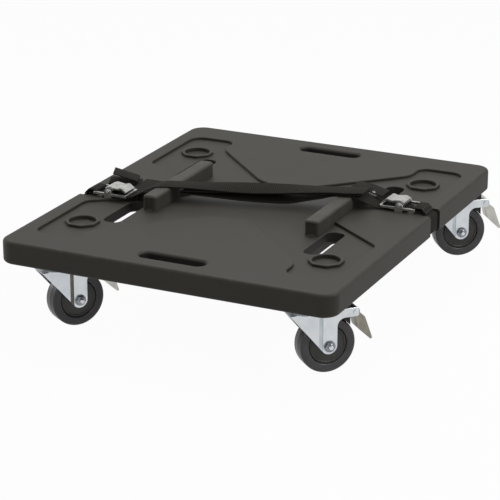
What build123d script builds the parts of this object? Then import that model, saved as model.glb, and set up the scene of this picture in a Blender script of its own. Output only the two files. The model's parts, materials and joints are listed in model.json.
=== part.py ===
from build123d import *
import os
from math import asin, atan2, cos, hypot, radians, sin, tan

os.makedirs("parts", exist_ok=True)

# A moulded platform on four braked swivel casters, with a tie-down strap across it.
# Millimetres. The floor is Z = 0, the board's centre is X = Y = 0 and its long side runs along Y.

# Board
deck_width = 640.0
deck_length = 775.0
deck_thickness = 42.0
deck_corner_radius = 30.0
deck_top_edge_radius = 6.0
deck_bottom_edge_radius = 6.0
deck_wall = 5.0

# X-shaped recess in the board's top, between two end plateaus and two side plateaus
recess_depth = 5.0
recess_edge_radius = 2.0
end_tip_y = 68.0
end_tip_radius = 85.0
side_tip_x = 115.0
side_tip_radius = 25.0
side_tip_angle = 36.5
side_border = 32.0
end_border = 69.0
pocket_width = 90.0
pocket_length = 52.5
pocket_bend_radius = 40.0
pocket_inner_radius = 20.0
pocket_outer_radius = 25.0
side_corner_radius = 20.0

# Eight-sided cups let into the board; the feet of a case stand in their sockets
socket_inset_x = 82.0
socket_inset_y = 159.5
socket_bore = 49.0
socket_depth = 7.0
socket_ring_width = 5.5
socket_ring_corner_radius = 9.0
socket_edge_radius = 1.5
cup_floor = 5.0

# Hand slots near both ends
hand_slot_length = 125.0
hand_slot_width = 28.0
hand_slot_inset = 50.5
hand_slot_lip_radius = 6.0

# Raised rails and the through slots beside them
rail_inset = 159.0
rail_width = 28.0
rail_length = 236.0
rail_rise = 23.0
rail_corner_radius = 6.0
rail_edge_radius = 5.0
slot_gap = 5.0
slot_width = 34.0
slot_length = 122.0
slot_inner_y = 82.0
slot_corner_radius = 14.0
slot_edge_radius = 1.5
# Pockets under the through slots, which give the hook of a strap an edge to catch
hook_pocket_outer_margin = 26.0
hook_pocket_inner_margin = 9.0
hook_pocket_end_margin = 10.0
hook_pocket_run = 44.0
hook_pocket_depth = 18.0

# Casters
caster_head_height = 30.0
caster_inset_x = 79.0
caster_inset_y = 66.5
front_left_swivel_angle = 56.0
front_right_swivel_angle = 46.5
rear_left_swivel_angle = 22.0
rear_right_swivel_angle = 39.5

# Caster top plate, swivel race and king pin
plate_length = 96.0
plate_width = 68.0
plate_thickness = 3.0
plate_corner_radius = 8.0
plate_hole_spacing_x = 75.0
plate_hole_spacing_y = 45.0
race_radius = 19.5
race_ball_radius = 3.0
race_ball_count = 10
race_gap = 2.0
race_clearance = 0.15
upper_race_depth = 5.0
lower_race_height = 6.0
race_lip = 6.0
king_pin_radius = 5.0
king_pin_head_radius = 9.0
king_pin_head_height = 5.0

# Caster fork
trail = 36.0
fork_thickness = 2.5
fork_crown_radius = 32.0
fork_front_x = -36.0
fork_foot_radius = 15.0
fork_arm_height = 17.0
fork_arm_fillet = 14.0
fork_arm_corner = 4.0
fork_edge_radius = 2.0
fork_groove_width = 7.0
fork_groove_depth = 0.9
fork_groove_x = 20.5
fork_groove_drop = 75.0

# Wheel and axle
wheel_diameter = 100.0
tyre_width = 32.0
tyre_thickness = 16.0
tyre_shoulder_radius = 6.0
tyre_lip = 1.5
wheel_side_gap = 3.0
hub_radius = 13.0
hub_end_gap = 0.5
hub_web_inset = 3.0
hub_rim_thickness = 4.0
hub_rim_inset = 1.5
sleeve_radius = 6.0
axle_radius = 4.0
axle_nut_width = 16.0
axle_nut_height = 7.0
axle_head_height = 5.5
axle_end_length = 3.0

# Brake
brake_reach = 4.0
brake_pin_radius = 3.0
brake_pin_inset = 6.0
brake_pin_drop = 9.0
brake_pin_head_radius = 5.0
brake_pin_head_height = 1.5
pedal_boss_radius = 8.0
pedal_width = 26.0
pedal_reach = 38.0
pedal_drop = 58.0
pedal_shoulder_reach = 20.0
pedal_shoulder_drop = 13.0
pedal_heel_reach = 7.0
pedal_heel_drop = 33.0
pedal_tip_thickness = 5.0
pedal_tip_width = 11.0
pedal_leaf_radius = 4.0
pedal_edge_radius = 1.5
shoe_length = 15.5
shoe_rise = 10.0
shoe_tyre_gap = 0.5
shoe_end_gap = 1.0
brake_side_gap = 0.4

# Bolts and moulded inserts that hold the casters
bolt_radius = 4.0
bolt_head_width = 13.0
bolt_head_height = 5.5
bolt_reach = 18.0
insert_radius = 7.0
insert_length = 20.0

# Webbing
strap_width = 38.0
strap_thickness = 2.0
strap_fold_gap = 0.8
strap_rail_y = 46.0
strap_turn_reach = 12.0
strap_turn_radius = 60.0
strap_end_reach = 26.0
strap_fold_x = 64.0
strap_loose_gap = 1.8
strap_lap = 17.0
strap_upper_sag = 2.2
strap_middle_sag = 8.0
strap_lower_sag = 17.0
strap_sag_radius = 100.0
strap_bend_radius = 9.0
anchor_sewn_length = 12.0
anchor_rise_angle = 45.0
right_tail_gap = 3.0
right_tail_drop = 9.0
left_tail_inset = 77.0
left_tail_y = 6.0
left_tail_angle = 22.0
left_tail_length = 60.0
left_tail_step = 6.0
left_tail_flap = 46.0
left_tail_flap_rise = 15.0
left_tail_gap = 1.4
groove_depth = 5.0
groove_under_depth = 4.0
groove_side_gap = 4.0
groove_bend_radius = 6.0
groove_lead = 15.0
groove_reach = 62.0
anchor_screw_radius = 3.0
anchor_screw_head_radius = 8.0
anchor_screw_head_height = 3.5
anchor_screw_reach = 16.0
anchor_screw_inset = 42.0

# Cam buckles, aligned with the anchor straps
buckle_inset = 74.0
buckle_y = 78.0
buckle_inner_end = 27.0
buckle_outer_end = 42.0
buckle_bar = 3.5
buckle_bar_height = 4.0
buckle_side_gap = 0.8
buckle_base_thickness = 1.5
buckle_base_length = 15.0
buckle_cheek_margin = 4.0
buckle_cheek_radius = 7.0
buckle_pin_radius = 2.0
buckle_pin_x = 11.0
buckle_pin_height = 12.0
buckle_pin_head_radius = 3.2
buckle_pin_head_height = 1.2
lever_thickness = 3.0
lever_side_gap = 2.8
lever_inner_reach = 34.0
lever_outer_reach = 8.0
lever_hump = 7.0
lever_hump_width = 18.0
lever_dip = 2.5
lever_bend_radius = 4.0
cam_gap = 0.4

# Clearances
seat_gap = 0.02
running_gap = 0.05
hole_gap = 0.25
soft_gap = 0.3
skin_gap = 0.2

# Heights and places worked out from the sizes above
wheel_radius = wheel_diameter / 2
axle_height = wheel_radius
deck_bottom = wheel_diameter + caster_head_height
deck_top = deck_bottom + deck_thickness
recess_floor = deck_top - recess_depth
rail_top = deck_top + rail_rise
cavity_floor = deck_bottom + deck_wall
cavity_roof = recess_floor - deck_wall
socket_floor = deck_top - socket_depth
cup_bottom = socket_floor - cup_floor
cup_half_width = socket_bore / 2 + socket_ring_width
cup_corner_angle = 360.0 / 16
cup_reach = cup_half_width / cos(radians(cup_corner_angle))
caster_x = deck_width / 2 - caster_inset_x
caster_y = deck_length / 2 - caster_inset_y
socket_x = deck_width / 2 - socket_inset_x
socket_y = deck_length / 2 - socket_inset_y
hand_slot_y = deck_length / 2 - hand_slot_inset
rail_x = deck_width / 2 - rail_inset
slot_x = rail_x + (rail_width + slot_width) / 2 + slot_gap
slot_y = slot_inner_y + slot_length / 2
hook_pocket_width = slot_width + hook_pocket_outer_margin + hook_pocket_inner_margin
hook_pocket_x = slot_x + (hook_pocket_outer_margin - hook_pocket_inner_margin) / 2
hook_pocket_length = slot_length + hook_pocket_end_margin + hook_pocket_run
hook_pocket_y = slot_y + (hook_pocket_end_margin - hook_pocket_run) / 2
hook_pocket_roof = deck_bottom + hook_pocket_depth
buckle_x = deck_width / 2 - buckle_inset
strap_half = strap_thickness / 2
groove_width = strap_width + 2 * groove_side_gap
groove_wall_x = deck_width / 2 - groove_depth
groove_under = deck_bottom + groove_under_depth
groove_over = deck_top - groove_depth

# Planes across the board at the two anchor straps; local X points outwards and local Y points up
right_strap_plane = Plane(origin=(0, buckle_y, 0), x_dir=(1, 0, 0), z_dir=(0, -1, 0))
left_strap_plane = Plane(origin=(0, -buckle_y, 0), x_dir=(-1, 0, 0), z_dir=(0, 1, 0))


def on_top(edges, height):
    return edges.filter_by_position(Axis.Z, height - seat_gap, height + seat_gap)


# Outline of the recess: one quarter, then turned into the other three
pocket_outer_x = deck_width / 2 - side_border
pocket_inner_x = pocket_outer_x - pocket_width
pocket_end_y = deck_length / 2 - end_border
quarter_points = [
    (pocket_outer_x, (pocket_outer_x - side_tip_x) * tan(radians(side_tip_angle))),
    (pocket_outer_x, pocket_end_y),
    (pocket_inner_x, pocket_end_y),
    (pocket_inner_x, pocket_end_y - pocket_length),
]
quarter_radii = [side_corner_radius, pocket_outer_radius, pocket_inner_radius, pocket_bend_radius]
recess_points = (
    [(side_tip_x, 0)]
    + quarter_points
    + [(0, end_tip_y)]
    + [(-x, y) for x, y in reversed(quarter_points)]
    + [(-side_tip_x, 0)]
    + [(-x, -y) for x, y in quarter_points]
    + [(0, -end_tip_y)]
    + [(x, -y) for x, y in reversed(quarter_points)]
)
half_radii = [side_tip_radius] + quarter_radii + [end_tip_radius] + quarter_radii[::-1]
recess_radii = half_radii + half_radii

# Section of a strap groove: over the top edge, down the side and under the board
groove_outside = deck_width / 2 + groove_depth
groove_entry_x = groove_wall_x - groove_lead
groove_end_x = deck_width / 2 - groove_reach
groove_section = [
    (groove_entry_x, deck_top + groove_depth),
    (groove_entry_x, deck_top),
    (groove_entry_x + groove_depth, groove_over),
    (groove_wall_x, groove_over),
    (groove_wall_x, groove_under),
    (groove_end_x + groove_depth, groove_under),
    (groove_end_x, deck_bottom),
    (groove_end_x, deck_bottom - groove_depth),
    (groove_outside, deck_bottom - groove_depth),
    (groove_outside, deck_top + groove_depth),
]
groove_radii = [0, 0, 0, groove_bend_radius, groove_bend_radius, 0, 0, 0, 0, 0]

# Board: a hollow moulding with posts round its slots, cups and inserts
anchor_screw_x = deck_width / 2 - anchor_screw_inset
groove_block_length = groove_reach + deck_wall
groove_block_x = (deck_width - groove_block_length) / 2
with BuildPart() as deck:
    with BuildSketch(Plane.XY.offset(deck_bottom)):
        RectangleRounded(deck_width, deck_length, deck_corner_radius)
    extrude(amount=deck_thickness)
    fillet(deck.faces().sort_by(Axis.Z)[-1].edges(), radius=deck_top_edge_radius)
    fillet(deck.faces().sort_by(Axis.Z)[0].edges(), radius=deck_bottom_edge_radius)
    # Recess, with a softened upper edge
    with BuildSketch(Plane.XY.offset(deck_top)):
        with BuildLine():
            FilletPolyline(recess_points, radius=recess_radii, close=True)
        make_face()
    extrude(amount=-recess_depth, mode=Mode.SUBTRACT)
    fillet(on_top(deck.edges(Select.LAST), deck_top), radius=recess_edge_radius)
    # Pockets for the foot cups
    with BuildSketch(Plane.XY.offset(cup_bottom)) as cup_pockets:
        with GridLocations(2 * socket_x, 2 * socket_y, 2, 2):
            RegularPolygon(cup_half_width + seat_gap, 8, major_radius=False, rotation=cup_corner_angle)
        fillet(cup_pockets.vertices(), radius=socket_ring_corner_radius)
    extrude(amount=deck_top - cup_bottom, mode=Mode.SUBTRACT)
    # Seats for the rails across the side plateaus
    with BuildSketch(Plane.XY.offset(recess_floor)):
        with GridLocations(2 * rail_x, 0, 2, 1):
            RectangleRounded(rail_width + 2 * seat_gap, rail_length + 2 * seat_gap, rail_corner_radius)
    extrude(amount=recess_depth, mode=Mode.SUBTRACT)
    # Hand slots with a rolled lip
    with BuildSketch(Plane.XY.offset(deck_bottom)):
        with GridLocations(0, 2 * hand_slot_y, 1, 2):
            SlotOverall(hand_slot_length, hand_slot_width)
    extrude(amount=deck_thickness, mode=Mode.SUBTRACT)
    hand_slot_edges = deck.edges(Select.LAST)
    hand_slot_lips = on_top(hand_slot_edges, deck_top) + on_top(hand_slot_edges, deck_bottom)
    fillet(hand_slot_lips, radius=hand_slot_lip_radius)
    # Strap grooves
    with BuildSketch(right_strap_plane, left_strap_plane):
        with BuildLine():
            FilletPolyline(groove_section, radius=groove_radii, close=True)
        make_face()
    extrude(amount=groove_width / 2, both=True, mode=Mode.SUBTRACT)
    # Hollow inside
    with BuildSketch(Plane.XY.offset(cavity_floor)):
        RectangleRounded(
            deck_width - 2 * deck_wall, deck_length - 2 * deck_wall, deck_corner_radius - deck_wall
        )
        with GridLocations(0, 2 * hand_slot_y, 1, 2):
            SlotOverall(hand_slot_length + 2 * deck_wall, hand_slot_width + 2 * deck_wall, mode=Mode.SUBTRACT)
        with GridLocations(2 * slot_x, 2 * slot_y, 2, 2):
            RectangleRounded(
                slot_width + 2 * deck_wall,
                slot_length + 2 * deck_wall,
                slot_corner_radius + deck_wall,
                mode=Mode.SUBTRACT,
            )
        with GridLocations(2 * socket_x, 2 * socket_y, 2, 2):
            Circle(cup_reach + deck_wall, mode=Mode.SUBTRACT)
        with GridLocations(2 * caster_x, 2 * caster_y, 2, 2):
            with GridLocations(plate_hole_spacing_x, plate_hole_spacing_y, 2, 2):
                Circle(insert_radius + deck_wall, mode=Mode.SUBTRACT)
        with Locations((groove_block_x, buckle_y), (-groove_block_x, -buckle_y)):
            Rectangle(groove_block_length, groove_width + 2 * deck_wall, mode=Mode.SUBTRACT)
    extrude(amount=cavity_roof - cavity_floor, mode=Mode.SUBTRACT)
    # Hook pockets under the board, and the through slots that open into them
    with BuildSketch(Plane.XY.offset(cavity_floor)):
        with GridLocations(2 * hook_pocket_x, 2 * hook_pocket_y, 2, 2):
            RectangleRounded(
                hook_pocket_width + 2 * deck_wall,
                hook_pocket_length + 2 * deck_wall,
                slot_corner_radius + deck_wall,
            )
    extrude(amount=hook_pocket_roof + deck_wall - cavity_floor)
    with BuildSketch(Plane.XY.offset(deck_bottom)):
        with GridLocations(2 * hook_pocket_x, 2 * hook_pocket_y, 2, 2):
            RectangleRounded(hook_pocket_width, hook_pocket_length, slot_corner_radius)
    extrude(amount=hook_pocket_depth, mode=Mode.SUBTRACT)
    with BuildSketch(Plane.XY.offset(hook_pocket_roof)):
        with GridLocations(2 * slot_x, 2 * slot_y, 2, 2):
            RectangleRounded(slot_width, slot_length, slot_corner_radius)
    extrude(amount=deck_top - hook_pocket_roof, mode=Mode.SUBTRACT)
    slot_edges = deck.edges(Select.LAST)
    fillet(on_top(slot_edges, recess_floor) + on_top(slot_edges, hook_pocket_roof), radius=slot_edge_radius)
    # Holes for the inserts and the anchor screws
    with BuildSketch(Plane.XY.offset(deck_bottom)):
        with GridLocations(2 * caster_x, 2 * caster_y, 2, 2):
            with GridLocations(plate_hole_spacing_x, plate_hole_spacing_y, 2, 2):
                Circle(insert_radius + seat_gap)
    extrude(amount=insert_length, mode=Mode.SUBTRACT)
    with BuildSketch(Plane.XY.offset(groove_under)):
        with Locations((anchor_screw_x, buckle_y), (-anchor_screw_x, -buckle_y)):
            Circle(anchor_screw_radius + seat_gap)
    extrude(amount=anchor_screw_reach, mode=Mode.SUBTRACT)
deck.part.label = "deck"
export_step(deck.part, "parts/deck.step")

# Foot cups, each standing on the floor of its pocket with its ring above the recess
with BuildPart() as foot_cups:
    with BuildSketch(Plane.XY.offset(cup_bottom)) as cup_outlines:
        with GridLocations(2 * socket_x, 2 * socket_y, 2, 2):
            RegularPolygon(cup_half_width, 8, major_radius=False, rotation=cup_corner_angle)
        fillet(cup_outlines.vertices(), radius=socket_ring_corner_radius)
    extrude(amount=deck_top - cup_bottom)
    with BuildSketch(Plane.XY.offset(socket_floor)):
        with GridLocations(2 * socket_x, 2 * socket_y, 2, 2):
            Circle(socket_bore / 2)
    extrude(amount=socket_depth, mode=Mode.SUBTRACT)
    fillet(on_top(foot_cups.edges(), deck_top), radius=socket_edge_radius)
foot_cups.part.label = "foot_cups"
export_step(foot_cups.part, "parts/foot_cups.step")

# Rails that the strap crosses, welded to the floor of the recess
with BuildPart() as rails:
    with BuildSketch(Plane.XY.offset(recess_floor)):
        with GridLocations(2 * rail_x, 0, 2, 1):
            RectangleRounded(rail_width, rail_length, rail_corner_radius)
    extrude(amount=rail_top - recess_floor)
    fillet(on_top(rails.edges(), rail_top), radius=rail_edge_radius)
rails.part.label = "rails"
export_step(rails.part, "parts/rails.step")

# Threaded inserts and the bolts that screw into them
with BuildPart() as caster_inserts:
    with BuildSketch(Plane.XY.offset(deck_bottom)):
        with GridLocations(2 * caster_x, 2 * caster_y, 2, 2):
            with GridLocations(plate_hole_spacing_x, plate_hole_spacing_y, 2, 2):
                Circle(insert_radius)
                Circle(bolt_radius + running_gap, mode=Mode.SUBTRACT)
    extrude(amount=insert_length)
caster_inserts.part.label = "caster_inserts"
export_step(caster_inserts.part, "parts/caster_inserts.step")

plate_bottom = deck_bottom - plate_thickness
with BuildPart() as caster_bolts:
    with BuildSketch(Plane.XY.offset(plate_bottom)):
        with GridLocations(2 * caster_x, 2 * caster_y, 2, 2):
            with GridLocations(plate_hole_spacing_x, plate_hole_spacing_y, 2, 2):
                RegularPolygon(bolt_head_width / 2, 6, major_radius=False)
    extrude(amount=-bolt_head_height)
    with BuildSketch(Plane.XY.offset(plate_bottom)):
        with GridLocations(2 * caster_x, 2 * caster_y, 2, 2):
            with GridLocations(plate_hole_spacing_x, plate_hole_spacing_y, 2, 2):
                Circle(bolt_radius)
    extrude(amount=plate_thickness + bolt_reach)
caster_bolts.part.label = "caster_bolts"
export_step(caster_bolts.part, "parts/caster_bolts.step")

# One caster, standing on the floor with its swivel axis at X = Y = 0 and trailing towards +X.
# The viewer's side of the wheel is -Y.
upper_race_bottom = plate_bottom - upper_race_depth
lower_race_top = upper_race_bottom - race_gap
ball_height = (upper_race_bottom + lower_race_top) / 2
crown_top = lower_race_top - lower_race_height
crown_bottom = crown_top - fork_thickness
fork_inner = tyre_width / 2 + wheel_side_gap
fork_outer = fork_inner + fork_thickness
race_plane = Plane.XZ
groove_ball_radius = race_ball_radius + race_clearance

with BuildPart() as top_plate:
    with BuildSketch(Plane.XY.offset(plate_bottom)):
        RectangleRounded(plate_length, plate_width, plate_corner_radius)
        with GridLocations(plate_hole_spacing_x, plate_hole_spacing_y, 2, 2):
            Circle(bolt_radius + hole_gap, mode=Mode.SUBTRACT)
    extrude(amount=plate_thickness)
    with BuildSketch(Plane.XY.offset(plate_bottom)):
        Circle(race_radius + race_lip)
    extrude(amount=-upper_race_depth)
    with BuildSketch(race_plane):
        with Locations((race_radius, ball_height)):
            Circle(groove_ball_radius)
    revolve(axis=Axis.Z, mode=Mode.SUBTRACT)
    with BuildSketch(Plane.XY.offset(upper_race_bottom)):
        Circle(king_pin_radius + seat_gap)
    extrude(amount=upper_race_depth + plate_thickness, mode=Mode.SUBTRACT)

with BuildPart() as king_pin:
    with BuildSketch(Plane.XY.offset(deck_bottom)):
        Circle(king_pin_radius)
    extrude(amount=crown_bottom - skin_gap - deck_bottom)
    with BuildSketch(Plane.XY.offset(crown_bottom - skin_gap)):
        Circle(king_pin_head_radius)
    extrude(amount=-king_pin_head_height)

with BuildPart() as swivel_balls:
    with Locations(Location((0, 0, ball_height))):
        with PolarLocations(race_radius, race_ball_count):
            Sphere(race_ball_radius)

# Fork outline seen from the side: slanted leading edge, round foot at the axle, arm over the brake
arm_bottom = crown_top - fork_arm_height
foot_back_x = trail + fork_foot_radius
slant_run = trail - fork_front_x
slant_drop = crown_top - axle_height
slant_angle = atan2(slant_drop, slant_run) + asin(fork_foot_radius / hypot(slant_run, slant_drop))
foot_tangent = (
    trail - fork_foot_radius * sin(slant_angle),
    axle_height - fork_foot_radius * cos(slant_angle),
)
fork_arm_length = trail + wheel_radius + brake_reach
brake_pin_x = fork_arm_length - brake_pin_inset
brake_pin_height = crown_top - brake_pin_drop
axle_plane = Plane(origin=(trail, 0, axle_height), x_dir=(1, 0, 0), z_dir=(0, -1, 0))
brake_plane = Plane(origin=(brake_pin_x, 0, brake_pin_height), x_dir=(1, 0, 0), z_dir=(0, -1, 0))
shoe_back_x = brake_pin_x - pedal_boss_radius - shoe_end_gap
shoe_front_x = shoe_back_x - shoe_length
web_end_x = shoe_front_x - shoe_end_gap
with BuildPart() as fork:
    with BuildSketch(Plane.XZ):
        with BuildLine():
            FilletPolyline(
                (fork_front_x, crown_top),
                foot_tangent,
                (trail, axle_height),
                (foot_back_x, axle_height),
                (foot_back_x, arm_bottom),
                (fork_arm_length, arm_bottom),
                (fork_arm_length, crown_top),
                radius=[0, 0, 0, 0, fork_arm_fillet, fork_arm_corner, fork_arm_corner],
                close=True,
            )
        make_face()
        with Locations((trail, axle_height)):
            Circle(fork_foot_radius)
    extrude(amount=fork_outer, both=True)
    fillet(fork.edges().filter_by(Axis.X).group_by(Axis.Z)[-1], radius=fork_edge_radius)
    # Room between the legs for the wheel, and an open end for the brake
    with BuildSketch(Plane.XZ):
        with BuildLine():
            Polyline(
                (fork_front_x, 0),
                (fork_front_x, crown_bottom),
                (web_end_x, crown_bottom),
                (web_end_x, crown_top),
                (fork_arm_length, crown_top),
                (fork_arm_length, 0),
                close=True,
            )
        make_face()
    extrude(amount=fork_inner, both=True, mode=Mode.SUBTRACT)
    # Pressed groove down each leg
    for side in (-1, 1):
        with BuildSketch(Plane.XZ.offset(side * (fork_outer - fork_groove_depth))):
            with Locations((fork_groove_x, crown_top)):
                Rectangle(fork_groove_width, 2 * fork_groove_drop)
        extrude(amount=side * fork_groove_depth, mode=Mode.SUBTRACT)
    # Round crown with the lower ball race on it
    with BuildSketch(Plane.XY.offset(crown_bottom)):
        Circle(fork_crown_radius)
    extrude(amount=fork_thickness)
    with BuildSketch(Plane.XY.offset(crown_top)):
        Circle(race_radius + race_lip)
    extrude(amount=lower_race_height)
    with BuildSketch(race_plane):
        with Locations((race_radius, ball_height)):
            Circle(groove_ball_radius)
    revolve(axis=Axis.Z, mode=Mode.SUBTRACT)
    with BuildSketch(Plane.XY.offset(crown_bottom)):
        Circle(king_pin_radius + running_gap)
    extrude(amount=fork_thickness + lower_race_height, mode=Mode.SUBTRACT)
    # Holes for the axle and the brake pin
    with BuildSketch(axle_plane):
        Circle(axle_radius + running_gap)
    extrude(amount=fork_outer, both=True, mode=Mode.SUBTRACT)
    with BuildSketch(brake_plane):
        Circle(brake_pin_radius + running_gap)
    extrude(amount=fork_outer, both=True, mode=Mode.SUBTRACT)

# Axle: a bolt through both legs, its nut on the viewer's side, and a sleeve between the legs
with BuildPart() as axle_bolt:
    with BuildSketch(axle_plane.offset(-fork_outer)):
        RegularPolygon(axle_nut_width / 2, 6, major_radius=False)
    extrude(amount=-axle_head_height)
    with BuildSketch(axle_plane.offset(-fork_outer)):
        Circle(axle_radius)
    extrude(amount=2 * fork_outer + axle_nut_height + axle_end_length)

with BuildPart() as axle_nut:
    with BuildSketch(axle_plane.offset(fork_outer)):
        RegularPolygon(axle_nut_width / 2, 6, major_radius=False)
        Circle(axle_radius + seat_gap, mode=Mode.SUBTRACT)
    extrude(amount=axle_nut_height)

with BuildPart() as axle_sleeve:
    with BuildSketch(axle_plane):
        Circle(sleeve_radius)
        Circle(axle_radius + running_gap, mode=Mode.SUBTRACT)
    extrude(amount=fork_inner - seat_gap, both=True)

# Wheel sections, turned about the axle; local X runs along the axle and local Y out from it
axle_axis = Axis((trail, 0, axle_height), (0, 1, 0))
wheel_plane = Plane(origin=(trail, 0, axle_height), x_dir=(0, 1, 0), z_dir=(1, 0, 0))
core_radius = wheel_radius - tyre_thickness
hub_bore = sleeve_radius + running_gap
rim_inner = core_radius - hub_rim_thickness
with BuildPart() as wheel_core:
    with BuildSketch(wheel_plane):
        with Locations((0, (hub_bore + hub_radius) / 2)):
            Rectangle(2 * (fork_inner - hub_end_gap), hub_radius - hub_bore)
        with Locations((0, (hub_radius + rim_inner) / 2)):
            Rectangle(tyre_width - 2 * hub_web_inset, rim_inner - hub_radius)
        with Locations((0, (rim_inner + core_radius) / 2)):
            Rectangle(tyre_width - 2 * hub_rim_inset, hub_rim_thickness)
    revolve(axis=axle_axis)

tyre_bore = core_radius + seat_gap
with BuildPart() as tyre:
    with BuildSketch(wheel_plane) as tyre_section:
        with Locations((0, (tyre_bore + wheel_radius) / 2)):
            Rectangle(tyre_width, wheel_radius - tyre_bore)
        fillet(tyre_section.vertices().group_by(Axis.Y)[-1], radius=tyre_shoulder_radius)
        chamfer(tyre_section.vertices().group_by(Axis.Y)[0], length=tyre_lip)
    revolve(axis=axle_axis)

# Brake: a pedal on a pin through the fork's arms, and the shoe that it presses on the tyre
brake_half_width = fork_inner - brake_side_gap
with BuildPart() as brake_pin:
    with BuildSketch(brake_plane):
        Circle(brake_pin_radius)
    extrude(amount=fork_outer, both=True)
    for side in (-1, 1):
        with BuildSketch(brake_plane.offset(side * fork_outer)):
            Circle(brake_pin_head_radius)
        extrude(amount=side * brake_pin_head_height)

with BuildPart() as brake_pedal:
    with BuildSketch(brake_plane):
        with BuildLine():
            FilletPolyline(
                (0, 0),
                (pedal_shoulder_reach, -pedal_shoulder_drop),
                (pedal_reach, -pedal_drop),
                (pedal_reach - pedal_tip_thickness, -pedal_drop),
                (pedal_heel_reach, -pedal_heel_drop),
                radius=[0, pedal_boss_radius, pedal_edge_radius, pedal_edge_radius, pedal_boss_radius],
                close=True,
            )
        make_face()
    extrude(amount=pedal_width / 2, both=True)
    with BuildSketch(Plane.XY.offset(brake_pin_height)):
        with BuildLine():
            FilletPolyline(
                (brake_pin_x - pedal_boss_radius, -pedal_width / 2),
                (brake_pin_x + pedal_shoulder_reach, -pedal_width / 2),
                (brake_pin_x + pedal_reach, -pedal_tip_width / 2),
                (brake_pin_x + pedal_reach, pedal_tip_width / 2),
                (brake_pin_x + pedal_shoulder_reach, pedal_width / 2),
                (brake_pin_x - pedal_boss_radius, pedal_width / 2),
                radius=[0, pedal_boss_radius, pedal_leaf_radius, pedal_leaf_radius, pedal_boss_radius, 0],
                close=True,
            )
        make_face()
    extrude(amount=pedal_drop + pedal_boss_radius, both=True, mode=Mode.INTERSECT)
    with BuildSketch(brake_plane):
        Circle(pedal_boss_radius)
    extrude(amount=brake_half_width, both=True)
    with BuildSketch(brake_plane):
        Circle(brake_pin_radius + running_gap)
    extrude(amount=brake_half_width, both=True, mode=Mode.SUBTRACT)

shoe_top = crown_top + shoe_rise
with BuildPart() as brake_shoe:
    with BuildSketch(Plane.XZ):
        with Locations(((shoe_front_x + shoe_back_x) / 2, (shoe_top + axle_height) / 2)):
            Rectangle(shoe_length, shoe_top - axle_height)
        with Locations((trail, axle_height)):
            Circle(wheel_radius + shoe_tyre_gap, mode=Mode.SUBTRACT)
    extrude(amount=brake_half_width, both=True)

# The four casters; each turns about its king pin, while its plate stays square to the board
corners = {
    "front_left": (-caster_x, -caster_y, front_left_swivel_angle),
    "front_right": (caster_x, -caster_y, front_right_swivel_angle),
    "rear_left": (-caster_x, caster_y, rear_left_swivel_angle),
    "rear_right": (caster_x, caster_y, rear_right_swivel_angle),
}
turned_pieces = {
    "swivel_balls": swivel_balls,
    "fork": fork,
    "axle_bolt": axle_bolt,
    "axle_nut": axle_nut,
    "axle_sleeve": axle_sleeve,
    "wheel_core": wheel_core,
    "tyre": tyre,
    "brake_pin": brake_pin,
    "brake_pedal": brake_pedal,
    "brake_shoe": brake_shoe,
}
for corner, (x, y, swivel) in corners.items():
    placed = top_plate.part.moved(Location((x, y, 0)))
    placed.label = f"{corner}_top_plate"
    export_step(placed, f"parts/{corner}_top_plate.step")
    for name, piece in turned_pieces.items():
        placed = piece.part.moved(Location((x, y, 0), (0, 0, swivel)))
        placed.label = f"{corner}_{name}"
        export_step(placed, f"parts/{corner}_{name}.step")

with BuildPart() as king_pins:
    with GridLocations(2 * caster_x, 2 * caster_y, 2, 2):
        add(king_pin.part)
king_pins.part.label = "king_pins"
export_step(king_pins.part, "parts/king_pins.step")

# Buckle heights, measured up from the board's top
base_bottom = skin_gap
base_top = base_bottom + buckle_base_thickness
strap_bottom = base_top + soft_gap
strap_top = strap_bottom + strap_thickness
bar_bottom = strap_top + 2 * soft_gap
bar_top = bar_bottom + buckle_bar_height
wall_inner = strap_width / 2 + buckle_side_gap
wall_outer = wall_inner + buckle_bar
cheek_top = buckle_pin_height + buckle_cheek_margin

# One buckle on the board's top, with +X towards the board's edge
frame_length = buckle_inner_end + buckle_outer_end
frame_middle = (buckle_outer_end - buckle_inner_end) / 2
cam_plane = Plane(
    origin=(buckle_pin_x, 0, deck_top + buckle_pin_height), x_dir=(1, 0, 0), z_dir=(0, -1, 0)
)
with BuildPart() as buckle_frame:
    # Open ring whose two ends are the strap bars
    with BuildSketch(Plane.XY.offset(deck_top + bar_bottom)):
        with Locations((frame_middle, 0)):
            RectangleRounded(frame_length, 2 * wall_outer, buckle_bar)
            Rectangle(frame_length - 2 * buckle_bar, 2 * wall_inner, mode=Mode.SUBTRACT)
    extrude(amount=buckle_bar_height)
    # Base under the cam, and the two cheeks that carry the pin
    with BuildSketch(Plane.XY.offset(deck_top + base_bottom)):
        with Locations((buckle_pin_x, 0)):
            Rectangle(buckle_base_length, 2 * wall_outer)
    extrude(amount=buckle_base_thickness)
    for side in (-1, 1):
        with BuildSketch(Plane.XZ.offset(side * wall_inner)) as cheek:
            with Locations((buckle_pin_x, deck_top + (base_bottom + cheek_top) / 2)):
                Rectangle(buckle_base_length, cheek_top - base_bottom)
            fillet(cheek.vertices().group_by(Axis.Y)[-1], radius=buckle_cheek_radius)
        extrude(amount=side * buckle_bar)
    with BuildSketch(cam_plane):
        Circle(buckle_pin_radius + seat_gap)
    extrude(amount=wall_outer, both=True, mode=Mode.SUBTRACT)

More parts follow.
